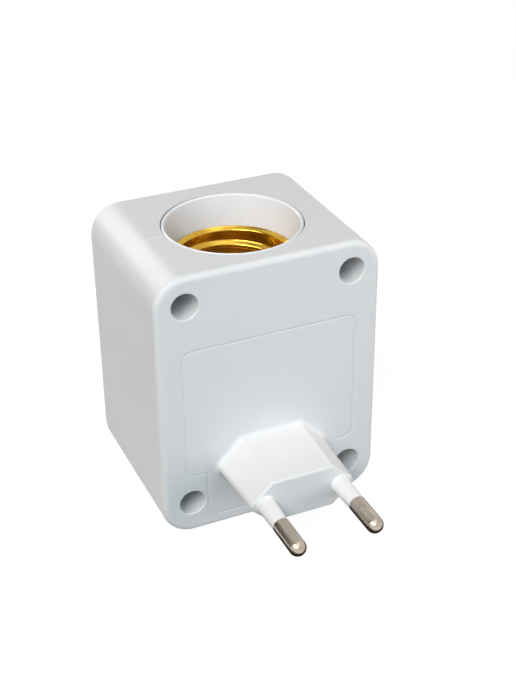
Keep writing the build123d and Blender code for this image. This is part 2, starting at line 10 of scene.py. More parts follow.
import bmesh
import bpy
from mathutils import Matrix, Quaternion, Vector


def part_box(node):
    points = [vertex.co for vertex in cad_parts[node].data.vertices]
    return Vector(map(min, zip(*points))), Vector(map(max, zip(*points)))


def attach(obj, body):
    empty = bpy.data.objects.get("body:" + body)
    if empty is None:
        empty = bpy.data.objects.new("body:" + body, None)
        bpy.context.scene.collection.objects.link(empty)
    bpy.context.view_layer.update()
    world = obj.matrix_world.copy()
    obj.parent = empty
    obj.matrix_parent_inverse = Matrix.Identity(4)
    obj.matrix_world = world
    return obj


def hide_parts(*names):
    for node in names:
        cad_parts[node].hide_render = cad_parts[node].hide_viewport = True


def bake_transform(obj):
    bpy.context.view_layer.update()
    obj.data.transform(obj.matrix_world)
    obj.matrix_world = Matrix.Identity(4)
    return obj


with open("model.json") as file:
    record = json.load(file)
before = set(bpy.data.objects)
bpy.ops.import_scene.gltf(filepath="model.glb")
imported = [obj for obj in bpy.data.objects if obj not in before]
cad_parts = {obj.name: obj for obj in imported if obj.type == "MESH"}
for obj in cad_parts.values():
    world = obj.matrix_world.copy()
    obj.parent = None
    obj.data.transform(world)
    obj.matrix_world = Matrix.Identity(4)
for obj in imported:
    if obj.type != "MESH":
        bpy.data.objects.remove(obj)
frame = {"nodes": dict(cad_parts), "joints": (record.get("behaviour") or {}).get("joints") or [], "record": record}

MM = 0.001
PHOTO_HEIGHT_PX = 688
SENSOR_MM = 36.0

# Modelling: merge distance, slack of a pick by place, and the edges that are shaded smooth or rounded
WELD = 0.001 * MM
NEAR = 0.01 * MM
SMOOTH_ANGLE = radians(40)
SHARP_ANGLE = radians(50)
EDGE_SEGMENTS = 2

# Noise: its middle value, and the octaves of fine lines and of clouds
NOISE_MIDDLE = 0.5
LINE_OCTAVES = 2.0
CLOUD_OCTAVES = 3.0

Colour = tuple[float, float, float]
Point = tuple[float, float, float]
Span = tuple[float, float]
Feed = Union["Signal", float, Colour]
WHITE: Colour = (1.0, 1.0, 1.0)
log = logging.getLogger("lamp_holder")


class Body(Enum):
    """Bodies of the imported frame."""

    HOLDER = "holder"
    CONTACT = "contact"


class Slot(Enum):
    """Material slots of the record."""

    WHITE_SLEEVE = "white_sleeve"
    MILKY_LENS = "milky_lens"
    GOLD_SHELL = "gold_shell"
    BRASS_CONTACT = "brass_contact"


class Axis(Enum):
    """Outputs of a Separate XYZ node."""

    X = 0
    Y = 1
    Z = 2


class Side(Enum):
    """Sides of a sheet on which it can get its thickness, as a Solidify modifier counts them."""

    OUTSIDE = 1.0
    INSIDE = -1.0
    BOTH = 0.0


def smooth(share: float) -> float:
    """Ease a share from 0 to 1, clamped at both ends."""
    clamped = min(1.0, max(0.0, share))
    return clamped * clamped * (3 - 2 * clamped)


def bearing(azimuth: float, elevation: float) -> Vector:
    """Direction away from the object, with azimuth 0 at its front."""
    return Vector((sin(azimuth) * cos(elevation), -cos(azimuth) * cos(elevation), sin(elevation)))


class Signal:
    """A socket on its way through a material. Arithmetic on it adds Math nodes."""

    def __init__(self, tree: "ShaderTree", socket: bpy.types.NodeSocket) -> None:
        """Wrap an output socket of a tree."""
        self.tree = tree
        self.socket = socket

    def _math(self, operation: str, left: Feed, right: Feed) -> "Signal":
        """Add a Math node with these two inputs."""
        return self.tree.node("ShaderNodeMath", {"operation": operation}, {0: left, 1: right})

    def __add__(self, other: Feed) -> "Signal":
        """Sum."""
        return self._math("ADD", self, other)

    def __radd__(self, other: Feed) -> "Signal":
        """Sum, reflected."""
        return self._math("ADD", other, self)

    def __sub__(self, other: Feed) -> "Signal":
        """Difference."""
        return self._math("SUBTRACT", self, other)

    def __rsub__(self, other: Feed) -> "Signal":
        """Difference, reflected."""
        return self._math("SUBTRACT", other, self)

    def __mul__(self, other: Feed) -> "Signal":
        """Product."""
        return self._math("MULTIPLY", self, other)

    def __rmul__(self, other: Feed) -> "Signal":
        """Product, reflected."""
        return self._math("MULTIPLY", other, self)

    def __abs__(self) -> "Signal":
        """Size without its sign."""
        return self._math("ABSOLUTE", self, 0.0)


class ShaderTree:
    """The node tree of one material or of the world."""

    # Sockets of a Mix node that blends colours
    MIX_SHARE, MIX_FIRST, MIX_SECOND, MIX_RESULT = 0, 6, 7, 2

    def __init__(self, owner: bpy.types.Material | bpy.types.World) -> None:
        """Start with an empty tree.

        Args:
            owner: What the tree belongs to.
        """
        owner.use_nodes = True
        self.owner = owner
        self.nodes = owner.node_tree.nodes
        self.links = owner.node_tree.links
        self.nodes.clear()

    def node(self, kind: str, settings: dict[str, Any] | None = None,
             inputs: dict[int | str, Any] | None = None, output: int | str = 0) -> Signal:
        """Add any node.

        Args:
            kind: Type of the node.
            settings: Its settings, which are set first.
            inputs: Values or signals of its sockets.
            output: The socket to hand on.

        Returns:
            The output as a signal.
        """
        made = self.nodes.new(kind)
        for key, value in (settings or {}).items():
            setattr(made, key, value)
        for key, value in (inputs or {}).items():
            self._feed(made.inputs[key], value)
        return Signal(self, made.outputs[output])

    def _feed(self, socket: bpy.types.NodeSocket, value: Any) -> None:
        """Link a signal to a socket, or set its value.

        Args:
            socket: An input socket.
            value: A signal, a number, a vector or a colour.
        """
        if isinstance(value, Signal):
            self.links.new(value.socket, socket)
        elif socket.type == "RGBA" and len(value) == 3:
            socket.default_value = (*value, 1.0)
        else:
            socket.default_value = value

    def place(self) -> Signal:
        """Object coordinates, which are the row frame in metres."""
        return self.node("ShaderNodeTexCoord", output="Object")

    def along(self, axis: Axis) -> Signal:
        """One of the object coordinates."""
        return self.node("ShaderNodeSeparateXYZ", {}, {0: self.place()}, axis.value)

    def scaled(self, sizes: Point) -> Signal:
        """Object coordinates counted in these sizes along X, Y and Z."""
        scale = tuple(1 / size for size in sizes)
        return self.node("ShaderNodeMapping", {}, {"Vector": self.place(), "Scale": scale})

    def noise(self, size: Point | float, detail: float = LINE_OCTAVES, roughness: float = 0.5) -> Signal:
        """Cloudy noise from 0 to 1.

        Args:
            size: Size of its clouds in metres, alike or along X, Y and Z.
            detail: Octaves of finer clouds.
            roughness: Weight of those octaves.

        Returns:
            The noise's factor.
        """
        sizes = size if isinstance(size, tuple) else (size, size, size)
        return self.node("ShaderNodeTexNoise", {}, {
            "Vector": self.scaled(sizes), "Scale": 1.0, "Detail": detail, "Roughness": roughness})

    def step(self, value: Signal, low: float, high: float) -> Signal:
        """Ease from 0 to 1 as a value goes from low to high, or from 1 to 0 where low is the larger."""
        return self.node("ShaderNodeMapRange", {"interpolation_type": "SMOOTHSTEP"}, {
            "Value": value, "From Min": low, "From Max": high, "To Min": 0.0, "To Max": 1.0})

    def mix(self, share: Feed, first: Feed, second: Feed) -> Signal:
        """Blend two colours."""
        inputs = {self.MIX_SHARE: share, self.MIX_FIRST: first, self.MIX_SECOND: second}
        return self.node("ShaderNodeMix", {"data_type": "RGBA"}, inputs, self.MIX_RESULT)

    def bump(self, height: Signal, depth: float, strength: float = 1.0) -> Signal:
        """Normal of a relief from 0 to 1 that is so many metres deep and shows at a strength."""
        return self.node("ShaderNodeBump", {}, {"Height": height, "Distance": depth, "Strength": strength})

    def seen(self) -> Signal:
        """Find the rays that see the set itself: from the camera, off gloss and through glass.

        Returns:
            Their mask.
        """
        kinds = ("Camera", "Glossy", "Transmission")
        rays = [self.node("ShaderNodeLightPath", output=f"Is {kind} Ray") for kind in kinds]
        return self.step(rays[0] + rays[1] + rays[2], 0.0, 1.0)

    def principled(self, **sockets: Any) -> None:
        """End the tree in a Principled shader, whose sockets are named with underscores for spaces."""
        inputs = {key.replace("_", " "): value for key, value in sockets.items()}
        self.close(self.node("ShaderNodeBsdfPrincipled", {}, inputs))

    def close(self, shader: Signal) -> None:
        """Link a shader to the owner's output.

        Args:
            shader: The last shader of the tree.
        """
        kind = "World" if isinstance(self.owner, bpy.types.World) else "Material"
        out = self.nodes.new(f"ShaderNodeOutput{kind}")
        self.links.new(shader.socket, out.inputs["Surface"])


@dataclass(frozen=True)
class Finish(ABC):
    """A surface finish, made into a material once and then shared."""

    name: str
    colour: Colour

    @abstractmethod
    def paint(self, tree: ShaderTree) -> None:
        """Fill the tree of the finish's material."""

    def material(self) -> bpy.types.Material:
        """Make the finish's material on first use.

        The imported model's own materials keep their slots' plain names, so this one's name is longer.

        Returns:
            The material that all pieces of this finish share.
        """
        label = f"{self.name}_finish"
        if label not in bpy.data.materials:
            self.paint(ShaderTree(bpy.data.materials.new(label)))
        return bpy.data.materials[label]


@dataclass(frozen=True)
class MouldedPlastic(Finish):
    """Satin moulded plastic with faint flow clouds and a fine eroded grain."""

    tone: Colour = (0.78, 0.79, 0.80)
    roughness: float = 0.38
    ior: float = 1.36
    cloud: float = 11 * MM
    cloud_edges: Span = (0.35, 0.7)
    cloud_rough: float = 0.08
    grain: float = 0.22 * MM
    grain_weight: float = 0.6
    grain_depth: float = 0.006 * MM
    grain_rough: float = 0.06

    def paint(self, tree: ShaderTree) -> None:
        """Fill the tree of the finish's material.

        Args:
            tree: The empty tree.
        """
        cloud = tree.noise(self.cloud, CLOUD_OCTAVES)
        grain = tree.noise(self.grain, CLOUD_OCTAVES, self.grain_weight)
        uneven = self.cloud_rough * (cloud - NOISE_MIDDLE) + self.grain_rough * (grain - NOISE_MIDDLE)
        tree.principled(
            Base_Color=tree.mix(tree.step(cloud, *self.cloud_edges), self.colour, self.tone),
            Roughness=self.roughness + uneven,
            Normal=tree.bump(grain, self.grain_depth),
            IOR=self.ior,
        )


@dataclass(frozen=True)
class PlatedMetal(Finish):
    """Plated metal with drawn lines along one axis and patches of tarnish."""

    tarnish: Colour = (0.42, 0.34, 0.26)
    roughness: float = 0.2
    axis: Axis = Axis.Y
    line: float = 0.09 * MM
    run: float = 7 * MM
    line_rough: float = 0.14
    line_depth: float = 0.004 * MM
    line_show: float = 0.6
    patch: float = 2.6 * MM
    worn_edges: Span = (0.45, 0.8)
    worn_share: float = 0.55
    worn_rough: float = 0.12

    def paint(self, tree: ShaderTree) -> None:
        """Fill the tree of the finish's material.

        Args:
            tree: The empty tree.
        """
        lines = tree.noise(tuple(self.run if axis is self.axis else self.line for axis in Axis))
        worn = tree.step(tree.noise(self.patch, CLOUD_OCTAVES), *self.worn_edges)
        tree.principled(
            Base_Color=tree.mix(self.worn_share * worn, self.colour, self.tarnish),
            Roughness=self.roughness + self.line_rough * (lines - NOISE_MIDDLE) + self.worn_rough * worn,
            Normal=tree.bump(lines, self.line_depth, self.line_show),
            Metallic=1.0,
        )


@dataclass(frozen=True)
class RolledSheet(Finish):
    """Bright rolled brass sheet with lines round the lamp axis and darker worn patches."""

    shade: Colour = (0.44, 0.20, 0.02)
    roughness: float = 0.2
    line: float = 0.12 * MM
    run: float = 40 * MM
    line_rough: float = 0.16
    line_depth: float = 0.003 * MM
    line_show: float = 0.5
    patch: float = 5 * MM
    worn_edges: Span = (0.4, 0.8)
    worn_share: float = 0.5
    worn_rough: float = 0.1

    def paint(self, tree: ShaderTree) -> None:
        """Fill the tree of the finish's material.

        Args:
            tree: The empty tree.
        """
        lines = tree.noise((self.run, self.run, self.line))
        worn = tree.step(tree.noise(self.patch, CLOUD_OCTAVES), *self.worn_edges)
        tree.principled(
            Base_Color=tree.mix(self.worn_share * worn, self.colour, self.shade),
            Roughness=self.roughness + self.line_rough * (lines - NOISE_MIDDLE) + self.worn_rough * worn,
            Normal=tree.bump(lines, self.line_depth, self.line_show),
            Metallic=1.0,
        )


@dataclass(frozen=True)
class MilkyLens(Finish):
    """Milky lens plastic with soft clouds and a fine polish."""

    tone: Colour = (0.84, 0.845, 0.83)
    roughness: float = 0.24
    ior: float = 1.49
    cloud: float = 6 * MM
    cloud_rough: float = 0.12
    grain: float = 0.15 * MM
    grain_depth: float = 0.003 * MM

    def paint(self, tree: ShaderTree) -> None:
        """Fill the tree of the finish's material.

        Args:
            tree: The empty tree.
        """
        cloud = tree.noise(self.cloud, CLOUD_OCTAVES)
        tree.principled(
            Base_Color=tree.mix(cloud, self.colour, self.tone),
            Roughness=self.roughness + self.cloud_rough * cloud,
            Normal=tree.bump(tree.noise(self.grain), self.grain_depth),
            IOR=self.ior,
        )


@dataclass(frozen=True)
class SolderMask(Finish):
    """Board lacquer with paler tracks under it and a fine glass weave."""

    track: Colour = (0.10, 0.36, 0.17)
    roughness: float = 0.28
    ior: float = 1.5
    cell: float = 5.5 * MM
    track_edges: Span = (0.12, 0.06)
    track_depth: float = 0.03 * MM
    weave: Point = (0.5 * MM, 0.5 * MM, 3 * MM)
    weave_octaves: float = 1.0
    weave_rough: float = 0.15

    def paint(self, tree: ShaderTree) -> None:
        """Fill the tree of the finish's material.

        Args:
            tree: The empty tree.
        """
        cells = tree.scaled((self.cell, self.cell, self.cell))
        edge = tree.node("ShaderNodeTexVoronoi", {"feature": "DISTANCE_TO_EDGE"},
                         {"Vector": cells, "Scale": 1.0})
        track = tree.step(edge, *self.track_edges)
        tree.principled(
            Base_Color=tree.mix(track, self.colour, self.track),
            Roughness=self.roughness + self.weave_rough * tree.noise(self.weave, self.weave_octaves),
            Normal=tree.bump(track, self.track_depth),
            IOR=self.ior,
        )


@dataclass(frozen=True)
class ClearResin(Finish):
    """Clear cast resin with a faint tint."""

    tint: Colour = (0.8, 0.84, 0.9)
    roughness: float = 0.04
    ior: float = 1.5
    clearness: float = 0.9
    cloud: float = 1.2 * MM
    cloud_rough: float = 0.06

    def paint(self, tree: ShaderTree) -> None:
        """Fill the tree of the finish's material.

        Args:
            tree: The empty tree.
        """
        cloud = tree.noise(self.cloud)
        tree.principled(
            Base_Color=tree.mix(cloud, self.colour, self.tint),
            Roughness=self.roughness + self.cloud_rough * cloud,
            Transmission_Weight=self.clearness,
            IOR=self.ior,
        )


@dataclass(frozen=True)
class BandedBody(Finish):
    """Lacquered resistor body with colour bands across its axis."""

    bands: tuple[tuple[float, Colour], ...] = ()
    band: float = 0.45 * MM
    band_core: float = 0.8
    shade: Colour = (0.3, 0.33, 0.32)
    shade_share: float = 0.3
    roughness: float = 0.35
    ior: float = 1.5
    cloud: float = 0.8 * MM
    cloud_rough: float = 0.2

    def paint(self, tree: ShaderTree) -> None:
        """Fill the tree of the finish's material.

        Args:
            tree: The empty tree.
        """
        along = tree.along(Axis.X)
        cloud = tree.noise(self.cloud, CLOUD_OCTAVES)
        colour = tree.mix(self.shade_share * cloud, self.colour, self.shade)
        for place, band_colour in self.bands:
            inside = tree.step(abs(along - place), self.band, self.band_core * self.band)
            colour = tree.mix(inside, colour, band_colour)
        tree.principled(Base_Color=colour, Roughness=self.roughness + self.cloud_rough * cloud, IOR=self.ior)


@dataclass(frozen=True)
class SensorCan(Finish):
    """Plated can with a dark filter window in its face."""

    centre: Point = (0.0, 0.0, 16.4 * MM)
    window: Span = (2.0 * MM, 1.5 * MM)
    window_edge: float = 0.05 * MM
    window_colour: Colour = (0.02, 0.015, 0.02)
    roughness: float = 0.25
    lines: Point = (0.1 * MM, 3 * MM, 0.1 * MM)
    line_rough: float = 0.1
    line_depth: float = 0.003 * MM
    line_show: float = 0.5

    def paint(self, tree: ShaderTree) -> None:
        """Fill the tree of the finish's material.

        Args:
            tree: The empty tree.
        """
        wide, high = self.window
        across = abs(tree.along(Axis.X) - self.centre[0])
        rise = abs(tree.along(Axis.Z) - self.centre[2])
        between = tree.step(across, wide + self.window_edge, wide)
        window = between * tree.step(rise, high + self.window_edge, high)
        lines = tree.noise(self.lines)
        tree.principled(
            Base_Color=tree.mix(window, self.colour, self.window_colour),
            Roughness=self.roughness + self.line_rough * lines,
            Metallic=1.0 - window,
            Normal=tree.bump(lines, self.line_depth, self.line_show),
        )


WHITE_CASE = MouldedPlastic("white_case", (0.785, 0.79, 0.79), tone=(0.77, 0.778, 0.78))
WHITE_PLUG = MouldedPlastic("white_plug", (0.785, 0.79, 0.79), tone=(0.77, 0.778, 0.78), roughness=0.32)
WHITE_SOCKET = MouldedPlastic("white_socket", (0.88, 0.90, 0.93), tone=(0.865, 0.89, 0.92), roughness=0.3)
WHITE_SLEEVE = MouldedPlastic("white_sleeve", (0.86, 0.87, 0.86), tone=(0.84, 0.855, 0.85), roughness=0.4)
PLATED_PIN = PlatedMetal("plated_pin", (0.56, 0.485, 0.40), tarnish=(0.36, 0.27, 0.20), roughness=0.28)
GOLD_SHELL = RolledSheet("gold_shell", (0.70, 0.43, 0.06))
SPRING_BRASS = PlatedMetal("spring_brass", (0.80, 0.60, 0.28), tarnish=(0.45, 0.28, 0.10), patch=1.8 * MM)
ZINC_STEEL = PlatedMetal("zinc_steel", (0.60, 0.60, 0.59), tarnish=(0.35, 0.34, 0.31), patch=1.2 * MM)
LENS_MILK = MilkyLens("lens_milk", (0.88, 0.88, 0.86))
BOARD_LACQUER = SolderMask("board_lacquer", (0.02, 0.14, 0.06))
CAN_PLATE = SensorCan("can_plate", (0.70, 0.67, 0.60))
CLEAR_DOME = ClearResin("clear_dome", (0.9, 0.93, 0.97))
BLACK_CASE = MouldedPlastic("black_case", (0.018, 0.018, 0.02), tone=(0.03, 0.03, 0.032), roughness=0.45,
                            grain_depth=0.015 * MM)
RELAY_CASE = MouldedPlastic("relay_case", (0.04, 0.12, 0.40), tone=(0.05, 0.14, 0.44), roughness=0.25)
FILM_CASE = MouldedPlastic("film_case", (0.62, 0.40, 0.05), tone=(0.66, 0.44, 0.07), roughness=0.3)
CAP_SLEEVE = MouldedPlastic("cap_sleeve", (0.012, 0.016, 0.04), tone=(0.02, 0.024, 0.05), roughness=0.22)
RESISTOR_BODY = BandedBody("resistor_body", (0.38, 0.42, 0.42), bands=(
    (11.6 * MM, (0.18, 0.05, 0.02)), (13.2 * MM, (0.01, 0.01, 0.01)), (14.8 * MM, (0.01, 0.01, 0.01)),
    (17.2 * MM, (0.55, 0.38, 0.08))))
BROWN_LEAD = MouldedPlastic("brown_lead", (0.14, 0.05, 0.02), tone=(0.17, 0.06, 0.025), roughness=0.45)
BLUE_LEAD = MouldedPlastic("blue_lead", (0.02, 0.09, 0.33), tone=(0.03, 0.11, 0.37), roughness=0.45)


class Workbench:
    """Hand tools for modelling a piece with operators."""

    @staticmethod
    def clear() -> None:
        """Leave edit mode and deselect every object."""
        if bpy.context.object and bpy.context.object.mode != "OBJECT":
            bpy.ops.object.mode_set(mode="OBJECT")
        bpy.ops.object.select_all(action="DESELECT")

    @staticmethod
    def take(name: str) -> bpy.types.Object:
        """Name the primitive just added and open it in edit mode, with nothing selected.

        Args:
            name: Name of the piece.

        Returns:
            The object.
        """
        made = bpy.context.object
        made.name = made.data.name = name
        bpy.ops.object.transform_apply(location=True, rotation=True, scale=True)
        bpy.ops.object.mode_set(mode="EDIT")
        bpy.ops.mesh.select_all(action="DESELECT")
        return made

    @staticmethod
    def pick(piece: bpy.types.Object, where: Callable[[Vector], bool]) -> None:
        """Select the vertices whose place passes a test, and the edges and faces between them.

        Args:
            piece: The piece, in edit mode.
            where: The test of a place.
        """
        bpy.ops.mesh.select_mode(type="VERT")
        bpy.ops.mesh.select_all(action="DESELECT")
        mesh = bmesh.from_edit_mesh(piece.data)
        for vertex in mesh.verts:
            vertex.select = where(vertex.co)
        mesh.select_flush_mode()
        bmesh.update_edit_mesh(piece.data)

    @staticmethod
    def pick_faces(piece: bpy.types.Object, where: Callable[[Vector, Vector], bool]) -> None:
        """Select the faces whose middle and normal pass a test.

        Args:
            piece: The piece, in edit mode.
            where: The test of a middle and a normal.
        """
        bpy.ops.mesh.select_mode(type="FACE")
        bpy.ops.mesh.select_all(action="DESELECT")
        mesh = bmesh.from_edit_mesh(piece.data)
        for face in mesh.faces:
            face.select = where(face.calc_center_bounds(), face.normal)
        mesh.select_flush_mode()
        bmesh.update_edit_mesh(piece.data)

    @staticmethod
    def draw_out(move: Vector) -> None:
        """Extrude the selection along a move and leave its far end selected."""
        bpy.ops.mesh.extrude_region_move(TRANSFORM_OT_translate={"value": move})

    @staticmethod
    def ring(centre: Vector, move: float, scale: float) -> None:
        """Draw the selected ring out along Y and scale it about a line along Y through centre."""
        Workbench.draw_out(Vector((0, move, 0)))
        bpy.ops.transform.resize(value=(scale, 1, scale), center_override=centre)

    @staticmethod
    def inset(thickness: float, depth: float) -> None:
        """Inset each selected face by itself, and raise it by a depth."""
        bpy.ops.mesh.inset(thickness=thickness, depth=depth, use_individual=True)

    @staticmethod
    def close_up() -> None:
        """Merge doubles, turn faces outwards, leave edit mode and smooth the gentle edges."""
        bpy.ops.mesh.select_all(action="SELECT")
        bpy.ops.mesh.remove_doubles(threshold=WELD)
        bpy.ops.mesh.normals_make_consistent(inside=False)
        Workbench.leave(SMOOTH_ANGLE)

    @staticmethod
    def leave(angle: float) -> None:
        """Leave edit mode and smooth the edges that are gentler than an angle."""
        bpy.ops.object.mode_set(mode="OBJECT")
        bpy.ops.object.shade_smooth_by_angle(angle=angle)

    @staticmethod
    def modify(piece: bpy.types.Object, kind: str, **settings: Any) -> None:
        """Add a modifier and apply it.

        Args:
            piece: The piece, in object mode.
            kind: Type of the modifier.
            settings: Its settings.
        """
        bpy.context.view_layer.objects.active = piece
        modifier = piece.modifiers.new(kind.lower(), kind)
        for key, value in settings.items():
            setattr(modifier, key, value)
        bpy.ops.object.modifier_apply(modifier=modifier.name)

    @staticmethod
    def thicken(piece: bpy.types.Object, thickness: float, side: Side) -> None:
        """Give a sheet its thickness."""
        Workbench.modify(piece, "SOLIDIFY", thickness=thickness, offset=side.value)

    @staticmethod
    def round_edges(piece: bpy.types.Object, width: float) -> None:
        """Round the sharp edges of a piece."""
        Workbench.modify(piece, "BEVEL", width=width, segments=EDGE_SEGMENTS, angle_limit=SHARP_ANGLE)


class SubAssembly(ABC):
    """A group of pieces that is built and dressed together."""

    cad_finishes: dict[str, Finish] = {}

    def build(self) -> Iterator[bpy.types.Object]:
        """Model the group's new pieces, if it has any."""
        yield from ()

    def dress(self) -> None:
        """Give each carried-over node its finish."""
        for name, finish in self.cad_finishes.items():
            node = frame["nodes"][name]
            node.data.materials.clear()
            node.data.materials.append(finish.material())
            log.info("dressed %s in %s", name, finish.name)


@dataclass
class Housing(SubAssembly):
    """The two halves of the box and the screws that join them."""

    cad_finishes: dict[str, Finish] = field(default_factory=lambda: {
        "front_housing": WHITE_CASE, "rear_housing": WHITE_CASE, "housing_screws": ZINC_STEEL})


@dataclass
class MainsPlug(SubAssembly):
    """Plug plate, plated pins and their sleeves, which flare at the plug's end."""

    pins_mount: str = "plug_pins"
    flare: float = 0.2 * MM
    flare_length: float = 0.9 * MM
    core_play: float = 0.05 * MM
    core_r: float = 1.5 * MM
    steps: int = 48
    flare_rings: int = 6
    cad_finishes: dict[str, Finish] = field(default_factory=lambda: {
        "plug_plate": WHITE_PLUG, "plug_pin_left": PLATED_PIN, "plug_pin_right": PLATED_PIN})

    def build(self) -> Iterator[bpy.types.Object]:
        """Model a sleeve for each pin."""
        for side in ("left", "right"):
            yield self.sleeve(f"pin_sleeve_{side}", f"insulating_sleeve_{side}")

    def sleeve(self, node: str, name: str) -> bpy.types.Object:
        """Model one sleeve from a ring drawn out along the pin and back through its bore.

        Args:
            node: The node that it stands for.
            name: Name of the piece.

        Returns:
            The piece.
        """
        low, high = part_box(node)
        centre = (low + high) / 2
        root_r = (high.x - low.x) / 2
        pins = next(mount for mount in frame["record"]["mounts"] if mount["name"] == self.pins_mount)
        tip_r = pins["dims"]["stud_r_mm"] * MM - self.core_play
        Workbench.clear()
        bpy.ops.mesh.primitive_circle_add(vertices=self.steps, radius=root_r + self.flare,
                                          location=(centre.x, low.y, centre.z), rotation=(pi / 2, 0, 0))
        piece = Workbench.take(name)
        Workbench.pick(piece, lambda place: True)
        radius = root_r + self.flare
        foot = low.y
        for ring in range(1, self.flare_rings + 1):
            turn = ring / self.flare_rings * pi / 2
            wide = root_r + self.flare * (1 - sin(turn))
            rise = low.y + self.flare_length * (1 - cos(turn))
            Workbench.ring(centre, rise - foot, wide / radius)
            radius, foot = wide, rise
        Workbench.ring(centre, high.y - foot, tip_r / radius)
        bore = self.core_r + self.core_play
        Workbench.ring(centre, 0.0, bore / tip_r)
        Workbench.ring(centre, low.y - high.y, 1.0)
        Workbench.pick(piece, lambda place: place.y < low.y + NEAR)
        bpy.ops.mesh.bridge_edge_loops()
        Workbench.close_up()
        piece.data.materials.append(WHITE_SLEEVE.material())
        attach(piece, Body.HOLDER.value)
        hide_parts(node)
        return piece


@dataclass
class LampSocket(SubAssembly):
    """Moulded socket with its rolled shell, sprung contact, rivet and terminal."""

    crest_r: float = 12.3 * MM
    root_r: float = 13.4 * MM
    pitch: float = 3.629 * MM
    turns: int = 3
    start: float = 6.0 * MM
    crest_half: float = 0.3 * MM
    flank_half: float = 1.3 * MM
    run_out: float = 0.14
    sheet: float = 0.5 * MM
    sheet_edge: float = 0.12 * MM
    foot_band: float = 2.0 * MM
    foot_flare: float = 1.0 * MM
    rim_flare: float = 0.8 * MM
    shell_steps: int = 160
    shell_rings: int = 96
    leaf_sheet: float = 0.5 * MM
    leaf_edge: float = 0.08 * MM
    leaf_rise: float = 3.4 * MM
    leaf_crest: float = -1.0 * MM
    leaf_tip: float = -4.2 * MM
    leaf_tip_drop: float = 1.0 * MM
    leaf_bend_r: float = 1.2 * MM
    bend_steps: int = 8
    bend_spread: float = 1.2 * MM
    cad_finishes: dict[str, Finish] = field(default_factory=lambda: {
        "socket_body": WHITE_SOCKET, "contact_rivet": SPRING_BRASS, "shell_terminal": SPRING_BRASS})

    def build(self) -> Iterator[bpy.types.Object]:
        """Model the shell and the contact."""
        yield self.shell()
        yield self.leaf()

    def shell_radius(self, angle: float, height: float, rim: float, low: float, high: float) -> float:
        """Inner radius of the shell at a place on it.

        Args:
            angle: Angle round the lamp axis, from 0 to 2 pi.
            height: Height in metres.
            rim: Inner radius of the rim.
            low: Height of the foot.
            high: Height of the rim.

        Returns:
            The radius in metres.
        """
        foot = smooth((height - low - self.foot_band) / self.foot_flare)
        plain = self.crest_r + (self.root_r - self.crest_r) * foot
        plain += (rim - self.root_r) * smooth((height - high + self.rim_flare) / self.rim_flare)
        turn = angle / (2 * pi)
        count = round((height - low - self.start) / self.pitch - turn)
        turn += min(self.turns - 1, max(0, count))
        away = abs(height - low - self.start - turn * self.pitch)
        ridge = smooth((self.flank_half - away) / (self.flank_half - self.crest_half))
        fade = smooth(turn / self.run_out) * smooth((self.turns - turn) / self.run_out)
        return plain - (self.root_r - self.crest_r) * ridge * fade

    def shell(self) -> bpy.types.Object:
        """Model the shell: a ring drawn up into a tube, rolled to its thread and given its thickness.

        Returns:
            The piece.
        """
        low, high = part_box("screw_shell")
        rim = high.x - self.sheet
        Workbench.clear()
        bpy.ops.mesh.primitive_circle_add(vertices=self.shell_steps, radius=self.root_r,
                                          location=(0, 0, low.z))
        piece = Workbench.take("lamp_shell")
        Workbench.pick(piece, lambda place: True)
        for _ in range(self.shell_rings):
            Workbench.draw_out(Vector((0, 0, (high.z - low.z) / self.shell_rings)))
        Workbench.close_up()
        for vertex in piece.data.vertices:
            angle = atan2(vertex.co.y, vertex.co.x) % (2 * pi)
            radius = self.shell_radius(angle, vertex.co.z, rim, low.z, high.z)
            vertex.co.xy = vertex.co.xy.normalized() * radius
        Workbench.thicken(piece, self.sheet, Side.OUTSIDE)
        Workbench.round_edges(piece, self.sheet_edge)
        piece.data.materials.append(GOLD_SHELL.material())
        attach(piece, Body.HOLDER.value)
        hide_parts("screw_shell")
        return piece

    def leaf(self) -> bpy.types.Object:
        """Model the sprung contact: a strip drawn out along its foot, up its tongue and down its tip.

        Returns:
            The piece.
        """
        low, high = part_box("centre_contact")
        joint = next(j for j in frame["joints"] if j["child"] == Body.CONTACT.value)
        bend = Vector(joint["pos_m"])
        rise = atan2(self.leaf_rise, bend.y - self.leaf_crest)
        fall = atan2(self.leaf_tip_drop, self.leaf_crest - self.leaf_tip)
        bend_cut = self.leaf_bend_r * tan(rise / 2)
        crest_cut = self.leaf_bend_r * tan((rise + fall) / 2)
        tongue = hypot(self.leaf_rise, bend.y - self.leaf_crest) - bend_cut - crest_cut
        tip = hypot(self.leaf_tip_drop, self.leaf_crest - self.leaf_tip) - crest_cut
        foot_end = bend.y + bend_cut
        Workbench.clear()
        bpy.ops.mesh.primitive_plane_add(size=1, location=(0, (high.y + foot_end) / 2, bend.z))
        bpy.ops.transform.resize(value=(high.x - low.x, high.y - foot_end, 1))
        piece = Workbench.take("contact_leaf")
        Workbench.pick(piece, lambda place: place.y < foot_end + NEAR)
        self.spin(rise, Vector((0, foot_end, bend.z + self.leaf_bend_r)))
        Workbench.draw_out(Vector((0, -cos(rise), sin(rise))) * tongue)
        end = self.selected_centre(piece)
        self.spin(-rise - fall, end - Vector((0, sin(rise), cos(rise))) * self.leaf_bend_r)
        Workbench.draw_out(Vector((0, -cos(fall), -sin(fall))) * tip)
        Workbench.close_up()
        Workbench.thicken(piece, self.leaf_sheet, Side.BOTH)
        Workbench.round_edges(piece, self.leaf_edge)
        piece.data.materials.append(SPRING_BRASS.material())
        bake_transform(piece)
        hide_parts("centre_contact")
        return piece

    def spin(self, angle: float, centre: Vector) -> None:
        """Turn the selected edge through a bend, upwards where the angle is positive."""
        bpy.ops.mesh.spin(steps=self.bend_steps, angle=angle, center=centre, axis=(1, 0, 0))

